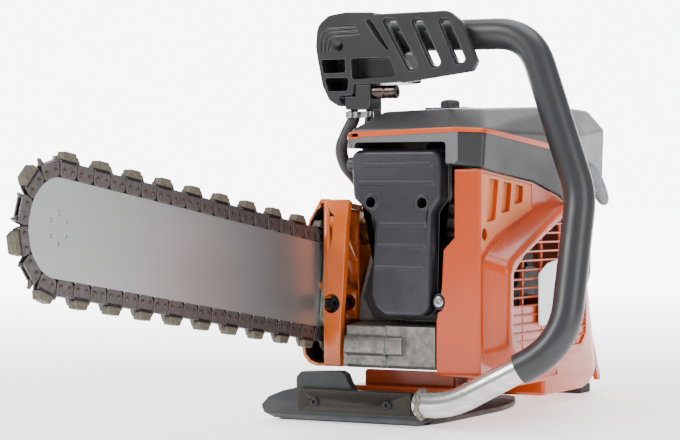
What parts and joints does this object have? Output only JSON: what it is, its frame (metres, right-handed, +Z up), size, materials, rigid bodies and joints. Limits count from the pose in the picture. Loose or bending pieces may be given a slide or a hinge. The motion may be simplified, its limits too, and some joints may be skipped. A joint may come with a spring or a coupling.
{
  "type": "petrol diamond-chain rescue saw",
  "caption": "Hand-held petrol cutter with a diamond chain on a guide bar, a wrap-around front handle with a hand guard, a front muffler and a steel skid plate.",
  "frame": {"origin": "on the ground, on the flat underside of the skid plate, straight below the crank axis", "axes": "+X forward towards the bar's nose, +Y to the operator's left (starter side), +Z up"},
  "size_m": [0.9275, 0.3059, 0.373],
  "materials": {
    "orange_plastic": "glossy moulded",
    "orange_metal": "light alloy, powder coated orange",
    "dark_plastic": "satin moulded",
    "black_plastic": "satin moulded",
    "red_plastic": "glossy",
    "black_steel": "black enamel",
    "worn_steel": "dark and scuffed",
    "muffler_coat": "heat-proof charcoal coat",
    "cast_metal": "rough cast",
    "bare_tube": "scratched bright",
    "machined_metal": "machined",
    "bar_steel": "ground satin",
    "chain_steel": "dark oiled steel with sintered segments",
    "plain_steel": "machined",
    "dark_metal": "blackened",
    "zinc": "yellow passivated",
    "sleeve": "satin grip",
    "hose": "matte",
    "rubber": "matte",
    "grip": "satin moulded",
    "plate": "blank printed film",
    "filter": "pleated paper"
  },
  "bodies": {
    "saw": {"skid_plate": "black_steel", "wear_plate": "worn_steel", "wear_plate_screw_right": "black_steel", "wear_plate_screw_left": "black_steel", "front_handle_tube": "bare_tube", "handle_sleeve": "sleeve", "hand_guard": "black_plastic", "hand_guard_screw": "black_steel", "water_valve": "black_plastic", "water_nipple": "dark_metal", "water_hose": "hose", "bleed_hose": "rubber", "water_hose_clamp": "plain_steel", "bleed_hose_clamp": "plain_steel", "water_elbow": "zinc", "handle_stay": "worn_steel", "chassis_tank": "orange_plastic", "rear_foot": "rubber", "rear_handle": "dark_plastic", "purge_bulb": "rubber", "crankcase_right": "cast_metal", "crankcase_left": "cast_metal", "connecting_rod": "plain_steel", "piston": "machined_metal", "cylinder": "cast_metal", "spark_plug": "black_plastic", "muffler": "muffler_coat", "muffler_shield": "black_steel", "muffler_screw": "plain_steel", "carburettor": "machined_metal", "air_filter": "filter", "cylinder_cover": "dark_plastic", "air_filter_cover": "dark_plastic", "starter_cover": "orange_plastic", "label_plate": "plate", "guide_bar": "bar_steel", "saw_chain": "chain_steel", "bar_pad": "bar_steel", "bar_guard_arm": "orange_metal", "bar_guard_outer": "orange_metal", "bar_nut_rear": "plain_steel", "bar_nut_front": "plain_steel", "isolator_spring": "plain_steel"},
    "crank": {"crankshaft": "plain_steel", "centrifugal_clutch": "plain_steel", "flywheel": "cast_metal"},
    "drum": {"clutch_drum": "plain_steel", "drive_sprocket": "plain_steel"},
    "nose": {"nose_sprocket": "plain_steel"},
    "pull": {"starter_grip": "grip", "starter_rope": "rubber"},
    "pulley": {"starter_pulley": "black_plastic"},
    "trigger": {"throttle_trigger": "black_plastic"},
    "lockout": {"throttle_lockout": "black_plastic"},
    "stop": {"stop_switch": "red_plastic"},
    "choke": {"choke_knob": "black_plastic"},
    "decompressor": {"decompression_valve": "black_plastic"},
    "water_lever": {"water_valve_lever": "zinc"},
    "fuel_lid": {"fuel_cap": "black_plastic"},
    "tensioner": {"tensioner_screw": "black_steel"}
  },
  "joints": [
    {"name": "crank_spin", "type": "hinge", "parent": "saw", "child": "crank", "pos_m": [0, -0.02, 0.1094], "axis": [0, 1, 0], "continuous": true},
    {"name": "drum_spin", "type": "hinge", "parent": "saw", "child": "drum", "pos_m": [0, -0.08, 0.1094], "axis": [0, 1, 0], "continuous": true},
    {"name": "nose_spin", "type": "hinge", "parent": "saw", "child": "nose", "pos_m": [0.51266, -0.0923, 0.18145], "axis": [0, 1, 0], "continuous": true},
    {"name": "rope_pull", "type": "slide", "parent": "saw", "child": "pull", "axis": [-0.5571, 0.5, 0.6631], "range_m": [0, 0.06], "stiffness_N_per_m": 60, "springref_m": -0.1},
    {"name": "pulley_spin", "type": "hinge", "parent": "saw", "child": "pulley", "pos_m": [0, 0.069, 0.1094], "axis": [0, 1, 0], "range_deg": [-140, 0]},
    {"name": "trigger_pivot", "type": "hinge", "parent": "saw", "child": "trigger", "pos_m": [-0.282, -0.0255, 0.214], "axis": [0, 1, 0], "range_deg": [0, 18], "stiffness_Nm_per_rad": 0.2, "springref_deg": -11.46},
    {"name": "lockout_pivot", "type": "hinge", "parent": "saw", "child": "lockout", "pos_m": [-0.27, -0.0255, 0.238], "axis": [0, 1, 0], "range_deg": [-8, 0], "stiffness_Nm_per_rad": 0.2, "springref_deg": 11.46},
    {"name": "stop_slide", "type": "slide", "parent": "saw", "child": "stop", "axis": [1, 0, 0], "range_m": [0, 0.004]},
    {"name": "choke_slide", "type": "slide", "parent": "saw", "child": "choke", "axis": [-1, 0, 0], "range_m": [0, 0.012]},
    {"name": "decompression_press", "type": "slide", "parent": "saw", "child": "decompressor", "axis": [0, 0, -1], "range_m": [0, 0.003], "stiffness_N_per_m": 300, "springref_m": -0.003},
    {"name": "water_lever_turn", "type": "hinge", "parent": "saw", "child": "water_lever", "pos_m": [0.05, -0.0666, 0.2895], "axis": [1, 0, 0], "range_deg": [-60, 0]},
    {"name": "fuel_lid_turn", "type": "hinge", "parent": "saw", "child": "fuel_lid", "pos_m": [-0.2, -0.06, 0.084], "axis": [0, 1, 0], "range_deg": [0, 180]},
    {"name": "tensioner_turn", "type": "hinge", "parent": "saw", "child": "tensioner", "pos_m": [0.08, -0.077, 0.107], "axis": [1, 0, 0], "continuous": true}
  ],
  "couplings": [
    {"joint": "nose_spin", "follows": "drum_spin", "ratio": 0.66667},
    {"joint": "pulley_spin", "follows": "rope_pull", "rad_per_m": -38.462}
  ]
}
